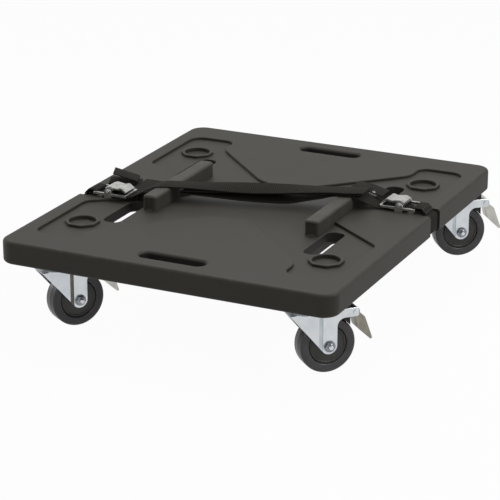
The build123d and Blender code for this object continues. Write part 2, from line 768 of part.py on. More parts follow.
cam_radius = buckle_pin_height - strap_top - cam_gap
lever_half_width = wall_inner - lever_side_gap
with BuildPart() as buckle_lever:
    # Wavy thumb plate joined to the cam
    with BuildSketch(cam_plane):
        with BuildLine():
            FilletPolyline(
                (-lever_inner_reach, 0),
                (lever_hump_width / 2 - lever_inner_reach, lever_hump),
                (lever_hump_width - lever_inner_reach, lever_hump - lever_dip),
                (0, lever_hump),
                (lever_outer_reach, lever_hump / 2),
                radius=lever_bend_radius,
            )
        trace(line_width=lever_thickness)
        Circle(cam_radius)
        Circle(buckle_pin_radius + running_gap, mode=Mode.SUBTRACT)
    extrude(amount=lever_half_width, both=True)

with BuildPart() as buckle_pin:
    with BuildSketch(cam_plane):
        Circle(buckle_pin_radius)
    extrude(amount=wall_outer, both=True)
    for side in (-1, 1):
        with BuildSketch(cam_plane.offset(side * wall_outer)):
            Circle(buckle_pin_head_radius)
        extrude(amount=side * buckle_pin_head_height)

# The right buckle, and the left one as the same buckle turned half round
buckle_places = {
    "right": Location((buckle_x, buckle_y, 0)),
    "left": Location((-buckle_x, -buckle_y, 0), (0, 0, 180)),
}
for side, place in buckle_places.items():
    for name, piece in {"buckle_frame": buckle_frame, "buckle_lever": buckle_lever}.items():
        placed = piece.part.moved(place)
        placed.label = f"{side}_{name}"
        export_step(placed, f"parts/{side}_{name}.step")

with BuildPart() as buckle_pins:
    for place in buckle_places.values():
        add(buckle_pin.part.moved(place))
buckle_pins.part.label = "buckle_pins"
export_step(buckle_pins.part, "parts/buckle_pins.step")

# Anchor straps: under the board, up the side groove, round the buckle's outer bar and sewn back
side_x = groove_wall_x + skin_gap + strap_half
under_z = groove_under - skin_gap - strap_half
over_z = groove_over + skin_gap + strap_half
anchor_bar_x = buckle_x + buckle_outer_end - buckle_bar
loop_x = anchor_bar_x - soft_gap - strap_half
loop_bottom = deck_top + bar_bottom - soft_gap - strap_half
loop_top = deck_top + bar_top + soft_gap + strap_half
rise_foot_x = groove_entry_x + groove_depth + 2 * strap_thickness
rise_slope = radians(anchor_rise_angle)
rise_head_x = rise_foot_x - (loop_bottom - over_z) / tan(rise_slope)
lap_run = (loop_top - loop_bottom) / tan(rise_slope)
lap_head_x = rise_head_x - lap_run + (strap_thickness + strap_fold_gap) / sin(rise_slope)
anchor_route = [
    (groove_end_x + groove_depth + skin_gap, under_z),
    (side_x, under_z),
    (side_x, over_z),
    (rise_foot_x, over_z),
    (rise_head_x, loop_bottom),
    (loop_x, loop_bottom),
    (loop_x, loop_top),
    (lap_head_x, loop_top),
    (lap_head_x + anchor_sewn_length * cos(rise_slope), loop_top - anchor_sewn_length * sin(rise_slope)),
]
loop_radius = soft_gap + strap_half
anchor_radii = [
    groove_bend_radius,
    groove_bend_radius,
    strap_thickness,
    strap_thickness,
    loop_radius,
    loop_radius,
    strap_thickness,
]
with BuildPart() as anchor_straps:
    with BuildSketch(right_strap_plane, left_strap_plane):
        with BuildLine():
            FilletPolyline(anchor_route, radius=anchor_radii)
        trace(line_width=strap_thickness)
    extrude(amount=strap_width / 2, both=True)
    with BuildSketch(Plane.XY.offset(deck_bottom)):
        with Locations((anchor_screw_x, buckle_y), (-anchor_screw_x, -buckle_y)):
            Circle(anchor_screw_radius + hole_gap)
    extrude(amount=groove_under_depth, mode=Mode.SUBTRACT)
anchor_straps.part.label = "anchor_straps"
export_step(anchor_straps.part, "parts/anchor_straps.step")

# Pan-head screws under the board that hold the anchor straps
screw_seat = under_z - strap_half
with BuildPart() as anchor_screws:
    with BuildSketch(Plane.XY.offset(screw_seat)):
        with Locations((anchor_screw_x, buckle_y), (-anchor_screw_x, -buckle_y)):
            Circle(anchor_screw_head_radius)
    extrude(amount=-anchor_screw_head_height)
    fillet(anchor_screws.faces().group_by(Axis.Z)[0].edges(), radius=anchor_screw_head_height / 2)
    with BuildSketch(Plane.XY.offset(screw_seat)):
        with Locations((anchor_screw_x, buckle_y), (-anchor_screw_x, -buckle_y)):
            Circle(anchor_screw_radius)
    extrude(amount=anchor_screw_reach)
anchor_screws.part.label = "anchor_screws"
export_step(anchor_screws.part, "parts/anchor_screws.step")

# Main strap, from cam to cam over both rails, with its spare length folded in three layers.
# Its heights come from this route, seen from the front, and its course across the board from a plan.
cam_pass = deck_top + strap_bottom + strap_half
over_rail = rail_top + soft_gap + strap_half
fold_pitch = strap_thickness + strap_fold_gap
loose_pitch = strap_thickness + strap_loose_gap
second_layer = over_rail + fold_pitch
third_layer = second_layer + fold_pitch
rail_outer_x = rail_x + rail_width / 2
strap_end_x = buckle_x + strap_end_reach
strap_foot_x = buckle_x - buckle_inner_end - rail_edge_radius
strap_turn_x = buckle_x - buckle_inner_end + strap_turn_reach
strap_shoulder_x = rail_outer_x + strap_thickness
strap_brow_x = rail_x - rail_width / 2 - rail_edge_radius
strap_lap_x = rail_outer_x + strap_lap
middle_layer = over_rail - strap_middle_sag
strap_route = [
    (-strap_end_x, cam_pass),
    (-strap_foot_x, cam_pass),
    (-strap_shoulder_x, over_rail),
    (0, second_layer - strap_upper_sag),
    (strap_brow_x, third_layer),
    (strap_lap_x, third_layer),
    (strap_lap_x, second_layer),
    (strap_brow_x, second_layer),
    (0, middle_layer),
    (-strap_fold_x, middle_layer),
    (-strap_fold_x, middle_layer - loose_pitch),
    (strap_fold_x, over_rail - strap_lower_sag),
    (strap_brow_x - strap_width / 2, over_rail - strap_lower_sag / 3),
    (strap_brow_x, over_rail),
    (strap_shoulder_x, over_rail),
    (strap_foot_x, cam_pass),
    (strap_end_x, cam_pass),
]
lap_radius = (fold_pitch - running_gap) / 2
fold_radius = (loose_pitch - running_gap) / 2
strap_radii = [
    strap_bend_radius,
    strap_bend_radius,
    strap_sag_radius,
    strap_sag_radius,
    lap_radius,
    lap_radius,
    strap_sag_radius,
    strap_sag_radius,
    fold_radius,
    fold_radius,
    strap_sag_radius,
    strap_sag_radius,
    strap_turn_radius,
    strap_bend_radius,
    strap_bend_radius,
]
strap_plan = [
    (-strap_end_x - strap_width, -buckle_y),
    (-strap_turn_x, -buckle_y),
    (-rail_x, -strap_rail_y),
    (rail_x, strap_rail_y),
    (strap_turn_x, buckle_y),
    (strap_end_x + strap_width, buckle_y),
]
with BuildPart() as main_strap:
    with BuildSketch(Plane.XZ):
        with BuildLine():
            FilletPolyline(strap_route, radius=strap_radii)
        trace(line_width=strap_thickness)
    extrude(amount=buckle_y + strap_width, both=True)
    with BuildSketch(Plane.XY.offset(deck_top)):
        with BuildLine():
            FilletPolyline(strap_plan, radius=strap_turn_radius)
        trace(line_width=strap_width)
    extrude(amount=third_layer + strap_thickness - deck_top, mode=Mode.INTERSECT)
main_strap.part.label = "main_strap"
export_step(main_strap.part, "parts/main_strap.step")

# Loose tails: one lies over the right rail, the other is folded flat beside the left buckle
tail_seat = deck_top + skin_gap + strap_half
right_tail_y = buckle_y + strap_width / 2 + right_tail_gap
left_tail_x = left_tail_inset - deck_width / 2
left_tail_pitch = strap_thickness + left_tail_gap
left_tail_turn = radians(left_tail_angle)
left_tail_plane = Plane(
    origin=(left_tail_x, left_tail_y, 0),
    x_dir=(cos(left_tail_turn), sin(left_tail_turn), 0),
    z_dir=(sin(left_tail_turn), -cos(left_tail_turn), 0),
)
with BuildPart() as strap_tails:
    with BuildSketch(Plane.XZ.offset(-right_tail_y)):
        with BuildLine():
            FilletPolyline(
                (rail_x - strap_bend_radius, over_rail),
                (strap_shoulder_x, over_rail),
                (strap_foot_x, over_rail - right_tail_drop),
                radius=strap_bend_radius,
            )
        trace(line_width=strap_thickness)
    extrude(amount=strap_width / 2, both=True)
    with BuildSketch(left_tail_plane):
        with BuildLine():
            FilletPolyline(
                (0, tail_seat),
                (-left_tail_length, tail_seat),
                (-left_tail_length, tail_seat + left_tail_pitch),
                (-left_tail_step, tail_seat + left_tail_pitch),
                (-left_tail_step, tail_seat + 2 * left_tail_pitch),
                (-left_tail_step - left_tail_flap, tail_seat + 2 * left_tail_pitch + left_tail_flap_rise),
                radius=(left_tail_pitch - running_gap) / 2,
            )
        trace(line_width=strap_thickness)
    extrude(amount=strap_width / 2, both=True)
strap_tails.part.label = "strap_tails"
export_step(strap_tails.part, "parts/strap_tails.step")
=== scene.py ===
import bmesh
import bpy
import json
from math import cos, pi, radians, sin, tan
from mathutils import Matrix, Vector

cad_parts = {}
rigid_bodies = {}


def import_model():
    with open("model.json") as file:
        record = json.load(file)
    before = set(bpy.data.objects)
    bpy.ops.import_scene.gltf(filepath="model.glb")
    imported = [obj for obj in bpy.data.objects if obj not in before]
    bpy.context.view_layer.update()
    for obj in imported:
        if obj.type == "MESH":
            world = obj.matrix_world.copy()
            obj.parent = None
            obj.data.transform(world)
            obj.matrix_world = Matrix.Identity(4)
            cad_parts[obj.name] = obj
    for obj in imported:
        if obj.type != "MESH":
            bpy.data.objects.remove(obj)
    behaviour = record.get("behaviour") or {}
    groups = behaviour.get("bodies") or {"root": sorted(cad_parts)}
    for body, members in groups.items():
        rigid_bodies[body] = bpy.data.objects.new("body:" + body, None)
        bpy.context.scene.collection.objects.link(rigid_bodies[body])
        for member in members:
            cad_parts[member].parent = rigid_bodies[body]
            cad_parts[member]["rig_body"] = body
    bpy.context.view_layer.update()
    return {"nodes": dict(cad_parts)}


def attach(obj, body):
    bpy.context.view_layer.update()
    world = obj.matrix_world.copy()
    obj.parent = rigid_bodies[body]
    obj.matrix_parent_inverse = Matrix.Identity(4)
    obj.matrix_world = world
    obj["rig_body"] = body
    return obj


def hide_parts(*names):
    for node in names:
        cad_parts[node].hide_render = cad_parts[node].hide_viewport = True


# A moulded caster board with a tie-down strap. Routes, sections and edges below are in millimetres.
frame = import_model()
nodes = frame["nodes"]
scene = bpy.context.scene
mm = 0.001
print("frame loaded:", len(nodes), "nodes")


def hexLinear(code):
    channels = [int(code[i:i + 2], 16) / 255 for i in (1, 3, 5)]
    linear = [c / 12.92 if c <= 0.04045 else ((c + 0.055) / 1.055) ** 2.4 for c in channels]
    return (*linear, 1.0)


# adds a node; a socket is given a plain value or the output that feeds it
def addNode(tree, kind, sockets=None, **settings):
    node = tree.nodes.new(kind)
    for name, value in settings.items():
        setattr(node, name, value)
    for key, value in (sockets or {}).items():
        if isinstance(value, bpy.types.NodeSocket):
            tree.links.new(value, node.inputs[key])
        else:
            node.inputs[key].default_value = value
    return node


# a material with one Principled shader; its fixed values go straight on the shader's sockets
def startMaterial(name, sockets):
    material = bpy.data.materials.new(name)
    material.use_nodes = True
    tree = material.node_tree
    tree.nodes.clear()
    shader = addNode(tree, "ShaderNodeBsdfPrincipled", sockets)
    addNode(tree, "ShaderNodeOutputMaterial", {"Surface": shader.outputs["BSDF"]})
    return material, tree, shader


# links what varies over a surface to its shader
def feedShader(tree, shader, sources):
    for socket, source in sources.items():
        tree.links.new(source, shader.inputs[socket])


noiseSpan = {"From Min": 0.3, "From Max": 0.7}  # noise seldom leaves this span

# Black polyethylene, rotationally moulded: a fine pebbled skin that spreads every highlight,
# a little cloudy from handling, and rubbed slightly paler along the outer edges
deckFinish = {
    "dark": "#201f1a", "light": "#292721", "rubbed": "#2f2d28", "grain": 3.0, "cloud": 120.0, "fleck": 14.0,
    "glossLow": 0.5, "glossHigh": 0.66, "relief": 0.22, "reliefDepth": 0.4,
    "halfWidth": 320.0, "halfLength": 387.5, "top": 172.0, "topEdge": 2.0, "rubbedReach": 11.0,
    "wornFrom": 0.52, "wornTo": 0.74,
}
polyethylene, tree, shader = startMaterial("mouldedPolyethylene", {"IOR": 1.5, "Specular IOR Level": 0.24})
place = addNode(tree, "ShaderNodeTexCoord").outputs["Object"]
# real pebbles are about 1 mm across; drawn at 3 mm so that they show
grain = addNode(tree, "ShaderNodeTexNoise", {
    "Vector": place, "Scale": 1 / (deckFinish["grain"] * mm), "Detail": 2.0, "Roughness": 0.6})
cloud = addNode(tree, "ShaderNodeTexNoise", {
    "Vector": place, "Scale": 1 / (deckFinish["cloud"] * mm), "Detail": 6.0, "Roughness": 0.6})
tone = addNode(tree, "ShaderNodeMapRange", {"Value": cloud.outputs[0], **noiseSpan})
skin = addNode(tree, "ShaderNodeMix", {
    0: tone.outputs[0], 6: hexLinear(deckFinish["dark"]), 7: hexLinear(deckFinish["light"])}, data_type="RGBA")
# the rubbed band: how near a point is to the outer sides and to the top, broken up by flecks
apart = addNode(tree, "ShaderNodeSeparateXYZ", {0: place})
nearSide = []
for axis, half in (("X", deckFinish["halfWidth"]), ("Y", deckFinish["halfLength"])):
    reach = addNode(tree, "ShaderNodeMath", {0: apart.outputs[axis]}, operation="ABSOLUTE")
    nearSide.append(addNode(tree, "ShaderNodeMapRange", {
        "Value": reach.outputs[0], "From Min": (half - deckFinish["rubbedReach"]) * mm, "From Max": half * mm}))
side = addNode(tree, "ShaderNodeMath", {
    0: nearSide[0].outputs[0], 1: nearSide[1].outputs[0]}, operation="MAXIMUM")
nearTop = addNode(tree, "ShaderNodeMapRange", {
    "Value": apart.outputs["Z"], "From Min": (deckFinish["top"] - deckFinish["rubbedReach"]) * mm,
    "From Max": (deckFinish["top"] - deckFinish["topEdge"]) * mm})
rim = addNode(tree, "ShaderNodeMath", {0: side.outputs[0], 1: nearTop.outputs[0]}, operation="MULTIPLY")
flecks = addNode(tree, "ShaderNodeTexNoise", {
    "Vector": place, "Scale": 1 / (deckFinish["fleck"] * mm), "Detail": 7.0})
worn = addNode(tree, "ShaderNodeMapRange", {
    "Value": flecks.outputs[0], "From Min": deckFinish["wornFrom"], "From Max": deckFinish["wornTo"]})
rubbed = addNode(tree, "ShaderNodeMath", {0: rim.outputs[0], 1: worn.outputs[0]}, operation="MULTIPLY")
finish = addNode(tree, "ShaderNodeMix", {
    0: rubbed.outputs[0], 6: skin.outputs[2], 7: hexLinear(deckFinish["rubbed"])}, data_type="RGBA")
gloss = addNode(tree, "ShaderNodeMapRange", {
    "Value": cloud.outputs[0], "To Min": deckFinish["glossLow"], "To Max": deckFinish["glossHigh"]})
pebbles = addNode(tree, "ShaderNodeBump", {
    "Height": grain.outputs[0], "Strength": deckFinish["relief"], "Distance": deckFinish["reliefDepth"] * mm})
feedShader(tree, shader, {
    "Base Color": finish.outputs[2], "Roughness": gloss.outputs[0], "Normal": pebbles.outputs[0]})


# A skin left by a mould: two close tones in soft clouds over an even grain, drawn coarser than the real one to show
def mouldedSkin(name, dark, light, roughness, shine, grain, cloud, depth, ior=1.5, spread=0.08, bump=0.3):
    material, tree, shader = startMaterial(name, {"IOR": ior, "Specular IOR Level": shine})
    place = addNode(tree, "ShaderNodeTexCoord").outputs["Object"]
    grains = addNode(tree, "ShaderNodeTexNoise", {"Vector": place, "Scale": 1 / (grain * mm), "Detail": 3.0})
    clouds = addNode(tree, "ShaderNodeTexNoise", {"Vector": place, "Scale": 1 / (cloud * mm), "Detail": 5.0})
    tone = addNode(tree, "ShaderNodeMapRange", {"Value": clouds.outputs[0], **noiseSpan})
    colour = addNode(tree, "ShaderNodeMix", {
        0: tone.outputs[0], 6: hexLinear(dark), 7: hexLinear(light)}, data_type="RGBA")
    gloss = addNode(tree, "ShaderNodeMapRange", {
        "Value": grains.outputs[0], "To Min": roughness - spread, "To Max": roughness + spread})
    relief = addNode(tree, "ShaderNodeBump", {
        "Height": grains.outputs[0], "Strength": bump, "Distance": depth * mm})
    feedShader(tree, shader, {
        "Base Color": colour.outputs[2], "Roughness": gloss.outputs[0], "Normal": relief.outputs[0]})
    return material


# A metal skin: two close tints in patches, with the gloss uneven over a grain that is coarse enough to show
def metalSkin(name, dark, light, roughness, spread, grain, patch, depth, bump=0.2):
    material, tree, shader = startMaterial(name, {"Metallic": 1.0})
    place = addNode(tree, "ShaderNodeTexCoord").outputs["Object"]
    grains = addNode(tree, "ShaderNodeTexNoise", {"Vector": place, "Scale": 1 / (grain * mm), "Detail": 4.0})
    patches = addNode(tree, "ShaderNodeTexNoise", {"Vector": place, "Scale": 1 / (patch * mm), "Detail": 3.0})
    tone = addNode(tree, "ShaderNodeMapRange", {"Value": patches.outputs[0], **noiseSpan})
    colour = addNode(tree, "ShaderNodeMix", {
        0: tone.outputs[0], 6: hexLinear(dark), 7: hexLinear(light)}, data_type="RGBA")
    gloss = addNode(tree, "ShaderNodeMapRange", {
        "Value": grains.outputs[0], "From Min": 0.25, "From Max": 0.75,
        "To Min": roughness - spread, "To Max": roughness + spread})
    relief = addNode(tree, "ShaderNodeBump", {
        "Height": grains.outputs[0], "Strength": bump, "Distance": depth * mm})
    feedShader(tree, shader, {
        "Base Color": colour.outputs[2], "Roughness": gloss.outputs[0], "Normal": relief.outputs[0]})
    return material


# black polyethylene on the rails: the same moulding in a paler tone
paleRailPolyethylene = mouldedSkin("paleRailMouldedPolyethylene", "#2d2c27", "#393731",
                               roughness=0.58, shine=0.25, grain=3.0, cloud=40.0, depth=0.12)
# black polyethylene on the slot walls, coloured nearer to black: painted shade inside the slots
slotWallPaintedShade = mouldedSkin("slotWallPaintedShadePolyethylene", "#110f0d", "#171512",
                               roughness=0.6, shine=0.2, grain=3.0, cloud=120.0, depth=0.12)
# thermoplastic rubber, moulded: grey-black and satin, dusty in soft patches
rubber = mouldedSkin("mouldedRubber", "#383638", "#444244",
                     roughness=0.38, shine=0.35, grain=1.6, cloud=22.0, depth=0.05)
# polypropylene, moulded: darker than the tyre and about as smooth
polypropylene = mouldedSkin("mouldedPolypropylene", "#242321", "#2e2d2a",
                            roughness=0.42, shine=0.4, grain=2.0, cloud=30.0, depth=0.06, ior=1.49)
# vulcanised rubber pad: matt black
padRubber = mouldedSkin("vulcanisedRubber", "#161616", "#222221",
                        roughness=0.7, shine=0.3, grain=1.8, cloud=12.0, depth=0.1, ior=1.52)
# sheet steel, pressed and zinc plated: pale and faintly blue, softly mirrored, with a slight cloud in the plating
zinc = metalSkin("zincPlatedSteel", "#c0c5ca", "#d2d5d7",
                 roughness=0.34, spread=0.07, grain=5.0, patch=26.0, depth=0.05)
# the same plating on turned and rolled fasteners: darker, so a nut stands out from the plate behind it
fastenerZinc = metalSkin("zincPlatedFastener", "#70757b", "#979b9f",
                         roughness=0.24, spread=0.06, grain=2.5, patch=8.0, depth=0.05)
# the same plating, darker and duller: painted shade in the pressed crease down a fork leg, and deeper painted shade
# in the front left fork's crease
zincCreasePaintedShade = metalSkin("zincPlatedCreasePaintedShade", "#a9b1b6", "#bcc2c5",
                       roughness=0.4, spread=0.08, grain=3.0, patch=14.0, depth=0.08)
zincCreaseDeeperPaintedShade = metalSkin("zincPlatedCreaseDeeperPaintedShade", "#545149", "#6f6b61",
                      roughness=0.5, spread=0.1, grain=3.0, patch=10.0, depth=0.08)
# zinc alloy, cast and tumbled: grey and fairly bright, with soft dents from tumbling
castZinc = metalSkin("tumbledZincAlloy", "#929390", "#b4b4b0",
                     roughness=0.32, spread=0.08, grain=4.0, patch=12.0, depth=0.2)
# sheet steel, pressed and satin nickel plated: warm grey, darker as painted shade for the front right pedal
nickel = metalSkin("nickelSteelPaintedShade", "#737068", "#8f8b80",
                   roughness=0.36, spread=0.08, grain=3.0, patch=20.0, depth=0.06)
# the same plating in a paler tone: painted light on the other three pedals
nickelPaintedLight = metalSkin("nickelSteelPaintedLight", "#a3a39c", "#bcbbb4",
                         roughness=0.34, spread=0.08, grain=3.0, patch=20.0, depth=0.06)
# brass, turned: hidden in the board
brass = metalSkin("turnedBrass", "#b08d4f", "#c29f5e",
                  roughness=0.3, spread=0.06, grain=2.0, patch=10.0, depth=0.04)
# bearing steel, ground and polished: the brightest of the metals, hidden in the casters
ballSteel = metalSkin("polishedBearingSteel", "#c9cacb", "#d6d7d8",
                      roughness=0.12, spread=0.03, grain=2.0, patch=8.0, depth=0.01)

# Polypropylene webbing, woven: raised ribs across the strap with the warp showing between them
weave = {"rib": 4.0, "warp": 2.4, "fuzz": 6.0, "dark": "#0f0e0c", "light": "#282622",
         "warpShare": 0.45, "fuzzShare": 0.5, "shadeFrom": 0.2, "shadeTo": 1.6, "relief": 0.6, "reliefDepth": 0.35}
webbing, tree, shader = startMaterial("wovenPolypropylene", {
    "Roughness": 0.85, "IOR": 1.49, "Specular IOR Level": 0.1})
uv = addNode(tree, "ShaderNodeUVMap", uv_map="webbingUv")
apart = addNode(tree, "ShaderNodeSeparateXYZ", {0: uv.outputs[0]})
waves = {}
# real ribs are about 1.6 mm apart and warp threads 1 mm; both drawn coarser so that they show
for yarn, axis in (("rib", "Y"), ("warp", "X")):
    turn = addNode(tree, "ShaderNodeMath", {
        0: apart.outputs[axis], 1: 2 * pi / (weave[yarn] * mm)}, operation="MULTIPLY")
    wave = addNode(tree, "ShaderNodeMath", {0: turn.outputs[0]}, operation="SINE")
    waves[yarn] = addNode(tree, "ShaderNodeMapRange", {"Value": wave.outputs[0], "From Min": -1.0})
fuzz = addNode(tree, "ShaderNodeTexNoise", {
    "Vector": uv.outputs[0], "Scale": 1 / (weave["fuzz"] * mm), "Detail": 6.0})
both = addNode(tree, "ShaderNodeMath", {
    0: waves["warp"].outputs[0], 1: weave["warpShare"], 2: waves["rib"].outputs[0]}, operation="MULTIPLY_ADD")
height = addNode(tree, "ShaderNodeMath", {
    0: fuzz.outputs[0], 1: weave["fuzzShare"], 2: both.outputs[0]}, operation="MULTIPLY_ADD")
# painted shade: the weave's colour goes darker where it lies lower, between the ribs
shade = addNode(tree, "ShaderNodeMapRange", {
    "Value": height.outputs[0], "From Min": weave["shadeFrom"], "From Max": weave["shadeTo"]})
colour = addNode(tree, "ShaderNodeMix", {
    0: shade.outputs[0], 6: hexLinear(weave["dark"]), 7: hexLinear(weave["light"])}, data_type="RGBA")
ribs = addNode(tree, "ShaderNodeBump", {
    "Height": height.outputs[0], "Strength": weave["relief"], "Distance": weave["reliefDepth"] * mm})
feedShader(tree, shader, {"Base Color": colour.outputs[2], "Normal": ribs.outputs[0]})

# polyester sewing thread, twisted: a shade lighter than the webbing
thread = mouldedSkin("twistedPolyesterThread", "#33312c", "#45433d",
                     roughness=0.6, shine=0.3, grain=1.0, cloud=5.0, depth=0.1, ior=1.6)
print("materials made:", len(bpy.data.materials))


# puts a finished mesh in the scene as a piece of the object
def addPiece(name, mesh, material, body, slotName, *replaced):
    mesh.materials.clear()
    mesh.materials.append(material)
    piece = bpy.data.objects.new(name, mesh)
    scene.collection.objects.link(piece)
    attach(piece, body)
    if replaced:
        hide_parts(*replaced)
    return piece


# a hidden CAD node keeps its shape and only gets a material
def dressNode(nodeName, material):
    nodes[nodeName].data.materials.clear()
    nodes[nodeName].data.materials.append(material)


# a copy of a CAD node with its loose triangles merged, flat faces joined and edges eased
def easedCopy(nodeName, material, slotName, edge, sharp=32.0, segments=2, swell=0.0):
    mergeReach, flatAngle = 2e-6, radians(0.6)
    source = nodes[nodeName]
    mesh = source.data.copy()
    shape = bmesh.new()
    shape.from_mesh(mesh)
    bmesh.ops.remove_doubles(shape, verts=shape.verts, dist=mergeReach)
    if edge:
        bmesh.ops.dissolve_limit(shape, angle_limit=flatAngle, verts=shape.verts, edges=shape.edges)
    shape.normal_update()
    for vert in shape.verts:
        vert.co += vert.normal * swell * mm
    shape.to_mesh(mesh)
    shape.free()
    if "custom_normal" in mesh.attributes:
        mesh.attributes.remove(mesh.attributes["custom_normal"])
    mesh.shade_smooth()
    mesh.set_sharp_from_angle(angle=radians(sharp))
    piece = addPiece(nodeName + "_eased", mesh, material, source["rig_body"], slotName, nodeName)
    if edge:
        bevel = piece.modifiers.new("easedEdges", "BEVEL")
        bevel.width = edge * mm
        bevel.segments = segments
        bevel.limit_method = "ANGLE"
        bevel.angle_limit = radians(sharp)
        bevel.harden_normals = True
    normals = piece.modifiers.new("evenNormals", "WEIGHTED_NORMAL")
    normals.keep_sharp = True
    return piece


# joins rings of points into a skin; each ring is a list of (x, y, z) in millimetres
def ringSkin(rings, matrix, closed, uvName=None, sharp=38.0):
    shape = bmesh.new()
    loops = [[shape.verts.new([c * mm for c in point]) for point in ring] for ring in rings]
    count = len(rings[0])
    uv = shape.loops.layers.uv.new(uvName) if uvName else None
    pairs = list(zip(loops, loops[1:])) + ([(loops[-1], loops[0])] if closed else [])
    for row, (low, high) in enumerate(pairs):
        for i in range(count):
            j = (i + 1) % count
            face = shape.faces.new((low[i], low[j], high[j], high[i]))
            if uv:
                square = ((i, row), (i + 1, row), (i + 1, row + 1), (i, row + 1))
                for corner, (u, v) in zip(face.loops, square):
                    corner[uv].uv = (u / count, v / len(pairs))
    if not closed:
        shape.faces.new(loops[0])
        shape.faces.new(loops[-1])
    bmesh.ops.recalc_face_normals(shape, faces=shape.faces)
    shape.transform(matrix)
    mesh = bpy.data.meshes.new("skin")
    shape.to_mesh(mesh)
    shape.free()
    mesh.shade_smooth()
    mesh.set_sharp_from_angle(angle=radians(sharp))
    return mesh


# rings of points about the Y axis, for a section given as (along, radius)
def turnedRings(section, count):
    return [[(radius * cos(2 * pi * i / count), along, radius * sin(2 * pi * i / count)) for i in range(count)]
            for along, radius in section]


def roundRing(radius, along, count=48):
    return turnedRings([(along, radius)], count)[0]


# a ring with six flats about the Y axis; its corners are cut back by a 30 degree chamfer towards the end face
def sixSided(flats, along, towards=0, count=48):
    chamferFrom, chamfer = 0.97, radians(30)
    ring = []
    for i in range(count):
        angle = 2 * pi * i / count
        radius = flats / 2 / cos(angle % (pi / 3) - pi / 6)
        drop = max(0.0, radius - chamferFrom * flats / 2) * tan(chamfer)
        ring.append((radius * cos(angle), along - towards * drop, radius * sin(angle)))
    return ring


# runs a node tree on a carrier mesh and gives back a plain mesh
def bakeTree(tree, carrier, values):
    helper = bpy.data.objects.new("carrier", carrier)
    scene.collection.objects.link(helper)
    modifier = helper.modifiers.new("nodes", "NODES")
    modifier.node_group = tree
    for item in tree.interface.items_tree:
        if item.item_type == "SOCKET" and item.in_out == "INPUT" and item.name in values:
            modifier[item.identifier] = values[item.name]
    graph = bpy.context.evaluated_depsgraph_get()
    mesh = bpy.data.meshes.new_from_object(
        helper.evaluated_get(graph), preserve_all_data_layers=True, depsgraph=graph)
    helper.modifiers.clear()
    bpy.data.objects.remove(helper)
    return mesh


# an empty geometry tree with a geometry input and output and named sizes
def startTree(name, sockets):
    tree = bpy.data.node_groups.new(name, "GeometryNodeTree")
    tree.interface.new_socket("Geometry", in_out="INPUT", socket_type="NodeSocketGeometry")
    for socketName, kind in sockets.items():
        tree.interface.new_socket(socketName, in_out="INPUT", socket_type="NodeSocket" + kind)
    tree.interface.new_socket("Geometry", in_out="OUTPUT", socket_type="NodeSocketGeometry")
    return tree, addNode(tree, "NodeGroupInput").outputs


# ends a tree as the export needs it: instances made real, one material
def endTree(tree, geometry, material):
    real = addNode(tree, "GeometryNodeRealizeInstances", {0: geometry})
    dressed = addNode(tree, "GeometryNodeSetMaterial", {"Geometry": real.outputs[0], "Material": material})
    addNode(tree, "NodeGroupOutput", {0: dressed.outputs[0]})


# The board, its cups and rails, and what is fixed in it; the CAD edges of its mouldings are already round
board = {"sharp": 28.0, "kingPinEdge": 0.6, "screwEdge": 0.3}
deck = easedCopy("deck", polyethylene, "moulded_polyethylene", 0, sharp=board["sharp"])
# the walls of the through slots and hand slots, which get the painted shade: middle and half size of each, mirrored
# in both directions
slots = {"through": (197.0, 143.0, 17.5, 61.5), "hand": (0.0, 337.0, 63.0, 14.5), "steep": 0.5}
# painted shade: steep faces inside the slots are coloured near black
deck.data.materials.append(slotWallPaintedShade)
for face in deck.data.polygons:
    spot = face.center / mm
    for middleX, middleY, halfX, halfY in (slots["through"], slots["hand"]):
        inside = abs(abs(spot.x) - middleX) < halfX and abs(abs(spot.y) - middleY) < halfY
        if inside and abs(face.normal.z) < slots["steep"]:
            face.material_index = 1
easedCopy("foot_cups", polyethylene, "moulded_polyethylene", 0, sharp=board["sharp"])
rails = easedCopy("rails", paleRailPolyethylene, "moulded_polyethylene", 0, sharp=board["sharp"])
# each end of a rail has a shallow panel let into it
panel = {"border": 3.0, "depth": 1.8, "square": 0.999}
shape = bmesh.new()
shape.from_mesh(rails.data)
ends = [face for face in shape.faces if abs(face.normal.y) > panel["square"]]
bmesh.ops.inset_region(shape, faces=ends, thickness=panel["border"] * mm, depth=-panel["depth"] * mm)
shape.to_mesh(rails.data)
shape.free()
rails.data.set_sharp_from_angle(angle=radians(board["sharp"]))
easedCopy("king_pins", zinc, "zinc_plated_steel", board["kingPinEdge"])
easedCopy("anchor_screws", zinc, "zinc_plated_steel", board["screwEdge"])
dressNode("caster_inserts", brass)
print("board dressed")

# Casters: middle of the king pin and turn about it; each trails along its own +X
casters = {
    "front_left": (-241, -321, 56.0),
    "front_right": (241, -321, 46.5),
    "rear_left": (-241, 321, 22.0),
    "rear_right": (241, 321, 39.5),
}
pressed = {"plateEdge": 0.5, "forkEdge": 0.7, "pinEdge": 0.4, "pedalEdge": 1.2, "shoeEdge": 0.8}
# where the crease runs down the fork's legs, and how deep its faces lie under the leg's outside; these faces get the
# painted shade
crease = {"start": 16.5, "end": 24.5, "foot": 40.0, "shallow": 0.2, "deep": 2.0}
# half sections of tyre and hub as (along the axle, radius)
wheel = {
    "trail": 36, "height": 50, "count": 96,
    "tyreSide": [(13.2, 34.05), (14.6, 34.4), (15.6, 35.4), (16.0, 36.6), (16.0, 45.8)],
    "shoulderMiddle": (12, 45.9), "shoulder": 4,
    "tyreSeam": [(0.8, 49.9), (0.45, 50.0)],
    "hub": [(12.4, 33.95), (14.3, 32.7), (14.5, 32.2), (14.5, 30.4), (14.0, 29.6), (13.4, 29.2),
            (13.4, 14.6), (13.9, 13.6), (18.0, 13.0), (18.5, 12.5), (18.5, 6.1)],
}
